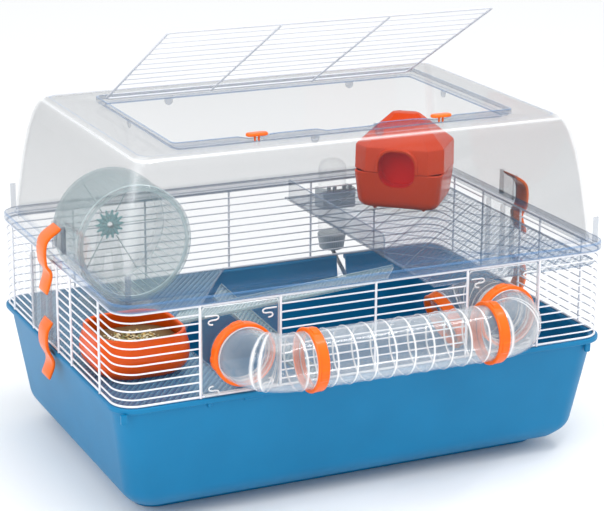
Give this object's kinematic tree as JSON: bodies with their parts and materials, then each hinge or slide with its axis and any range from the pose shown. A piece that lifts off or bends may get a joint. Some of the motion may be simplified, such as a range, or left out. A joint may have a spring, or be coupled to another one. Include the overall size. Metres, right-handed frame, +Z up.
{
  "type": "hamster cage",
  "caption": "Two-level hamster cage: deep blue tray, wire band, clear canopy with a wire roof lid, outside tube run, wheel, house, bowl and bottle.",
  "frame": {"origin": "middle of the tray's underside, on the surface it stands on", "axes": "+X right along the long front side, +Y to the back, +Z up"},
  "size_m": [0.7428, 0.6485, 0.6189],
  "materials": {
    "blue_polypropylene": "injection-moulded polypropylene, satin gloss, sky blue",
    "white_enamelled_wire": "welded steel wire with white baked enamel",
    "clear_polystyrene": "clear moulded polystyrene, glossy",
    "smoke_polystyrene": "translucent blue-grey moulded polystyrene, textured",
    "teal_polystyrene": "translucent pale teal moulded polystyrene",
    "orange_polypropylene": "moulded polypropylene, satin, orange",
    "brick_polypropylene": "moulded polypropylene, glossy, dark orange",
    "grey_plastic": "moulded, satin grey",
    "stainless_tube": "drawn stainless tube",
    "seed": "mixed seed and pellets"
  },
  "bodies": {
    "tray": {"tray": "blue_polypropylene", "inner_floor": "smoke_polystyrene", "ramp_lower": "teal_polystyrene", "wheel_stand": "teal_polystyrene"},
    "wheel": {"wheel": "teal_polystyrene"},
    "bowl": {"bowl": "brick_polypropylene", "seed_mix": "seed"},
    "band": {"grille_front": "white_enamelled_wire", "grille_right": "white_enamelled_wire", "grille_back": "white_enamelled_wire", "grille_left": "white_enamelled_wire", "port_panel_left": "clear_polystyrene", "port_panel_right": "clear_polystyrene", "side_panel_left": "clear_polystyrene", "side_panel_right": "clear_polystyrene", "elbow_left": "clear_polystyrene", "elbow_right": "clear_polystyrene", "elbow_inner": "clear_polystyrene", "tube_straight": "clear_polystyrene", "upper_platform": "smoke_polystyrene", "ramp_upper": "teal_polystyrene", "bottle_bracket": "grey_plastic"},
    "lock_ring_port_left": {"collar_port_left": "orange_polypropylene"},
    "lock_ring_tube_left": {"collar_tube_left": "orange_polypropylene"},
    "lock_ring_tube_right": {"collar_tube_right": "orange_polypropylene"},
    "lock_ring_port_right": {"collar_port_right": "orange_polypropylene"},
    "lock_ring_inner": {"collar_inner": "orange_polypropylene"},
    "lower_clip_left": {"clip_lower_left": "orange_polypropylene"},
    "lower_clip_right": {"clip_lower_right": "orange_polypropylene"},
    "bottle": {"bottle": "clear_polystyrene", "bottle_cap": "grey_plastic", "bottle_nozzle": "stainless_tube"},
    "canopy": {"canopy": "clear_polystyrene", "clip_bracket_left": "clear_polystyrene", "clip_bracket_right": "clear_polystyrene"},
    "lid": {"lid": "white_enamelled_wire"},
    "latch_left": {"latch_left": "orange_polypropylene"},
    "latch_right": {"latch_right": "orange_polypropylene"},
    "upper_clip_left": {"clip_upper_left": "orange_polypropylene"},
    "upper_clip_right": {"clip_upper_right": "orange_polypropylene"},
    "house": {"house_lower": "brick_polypropylene", "house_upper": "brick_polypropylene"}
  },
  "joints": [
    {"name": "band_lift", "type": "slide", "parent": "tray", "child": "band", "axis": [0, 0, 1], "range_m": [0, 0.08]},
    {"name": "canopy_lift", "type": "slide", "parent": "band", "child": "canopy", "axis": [0, 0, 1], "range_m": [0, 0.08]},
    {"name": "wheel_spin", "type": "hinge", "parent": "tray", "child": "wheel", "pos_m": [-0.214, 0.162, 0.2869], "axis": [0, 1, 0], "continuous": true},
    {"name": "bowl_lift", "type": "slide", "parent": "tray", "child": "bowl", "axis": [0, 0, 1], "range_m": [0, 0.03]},
    {"name": "house_lift", "type": "slide", "parent": "band", "child": "house", "axis": [0, 0, 1], "range_m": [0, 0.018]},
    {"name": "lock_ring_port_left_turn", "type": "hinge", "parent": "band", "child": "lock_ring_port_left", "pos_m": [-0.189, -0.2533, 0.2289], "axis": [0, 1, 0], "range_deg": [0, 30]},
    {"name": "lock_ring_port_right_turn", "type": "hinge", "parent": "band", "child": "lock_ring_port_right", "pos_m": [0.191, -0.2533, 0.2289], "axis": [0, 1, 0], "range_deg": [0, 30]},
    {"name": "lock_ring_tube_left_turn", "type": "hinge", "parent": "band", "child": "lock_ring_tube_left", "pos_m": [-0.12, -0.3083, 0.2289], "axis": [1, 0, 0], "range_deg": [0, 30]},
    {"name": "lock_ring_tube_right_turn", "type": "hinge", "parent": "band", "child": "lock_ring_tube_right", "pos_m": [0.136, -0.3083, 0.2289], "axis": [1, 0, 0], "range_deg": [0, 30]},
    {"name": "lock_ring_inner_turn", "type": "hinge", "parent": "band", "child": "lock_ring_inner", "pos_m": [0.14115, -0.1797, 0.20566], "axis": [0.9063, 0, 0.4226], "range_deg": [0, 30]},
    {"name": "bottle_pull", "type": "slide", "parent": "band", "child": "bottle", "axis": [0, 1, 0], "range_m": [0, 0.06]},
    {"name": "upper_clip_left_open", "type": "hinge", "parent": "canopy", "child": "upper_clip_left", "pos_m": [-0.3445, 0.008, 0.3439], "axis": [0, 1, 0], "range_deg": [0, 60]},
    {"name": "lower_clip_left_open", "type": "hinge", "parent": "band", "child": "lower_clip_left", "pos_m": [-0.3603, 0.008, 0.2159], "axis": [0, 1, 0], "range_deg": [0, 60]},
    {"name": "upper_clip_right_open", "type": "hinge", "parent": "canopy", "child": "upper_clip_right", "pos_m": [0.3445, 0.008, 0.3439], "axis": [0, -1, 0], "range_deg": [0, 60]},
    {"name": "lower_clip_right_open", "type": "hinge", "parent": "band", "child": "lower_clip_right", "pos_m": [0.3603, 0.008, 0.2159], "axis": [0, -1, 0], "range_deg": [0, 60]},
    {"name": "lid_open", "type": "hinge", "parent": "canopy", "child": "lid", "pos_m": [0, 0.124, 0.4818], "axis": [-1, 0, 0], "range_deg": [-29, 70]},
    {"name": "latch_left_turn", "type": "hinge", "parent": "canopy", "child": "latch_left", "pos_m": [-0.133, -0.1675, 0.4825], "axis": [0, 0, 1], "range_deg": [0, 90]},
    {"name": "latch_right_turn", "type": "hinge", "parent": "canopy", "child": "latch_right", "pos_m": [0.132, -0.1675, 0.4825], "axis": [0, 0, 1], "range_deg": [0, 90]}
  ]
}
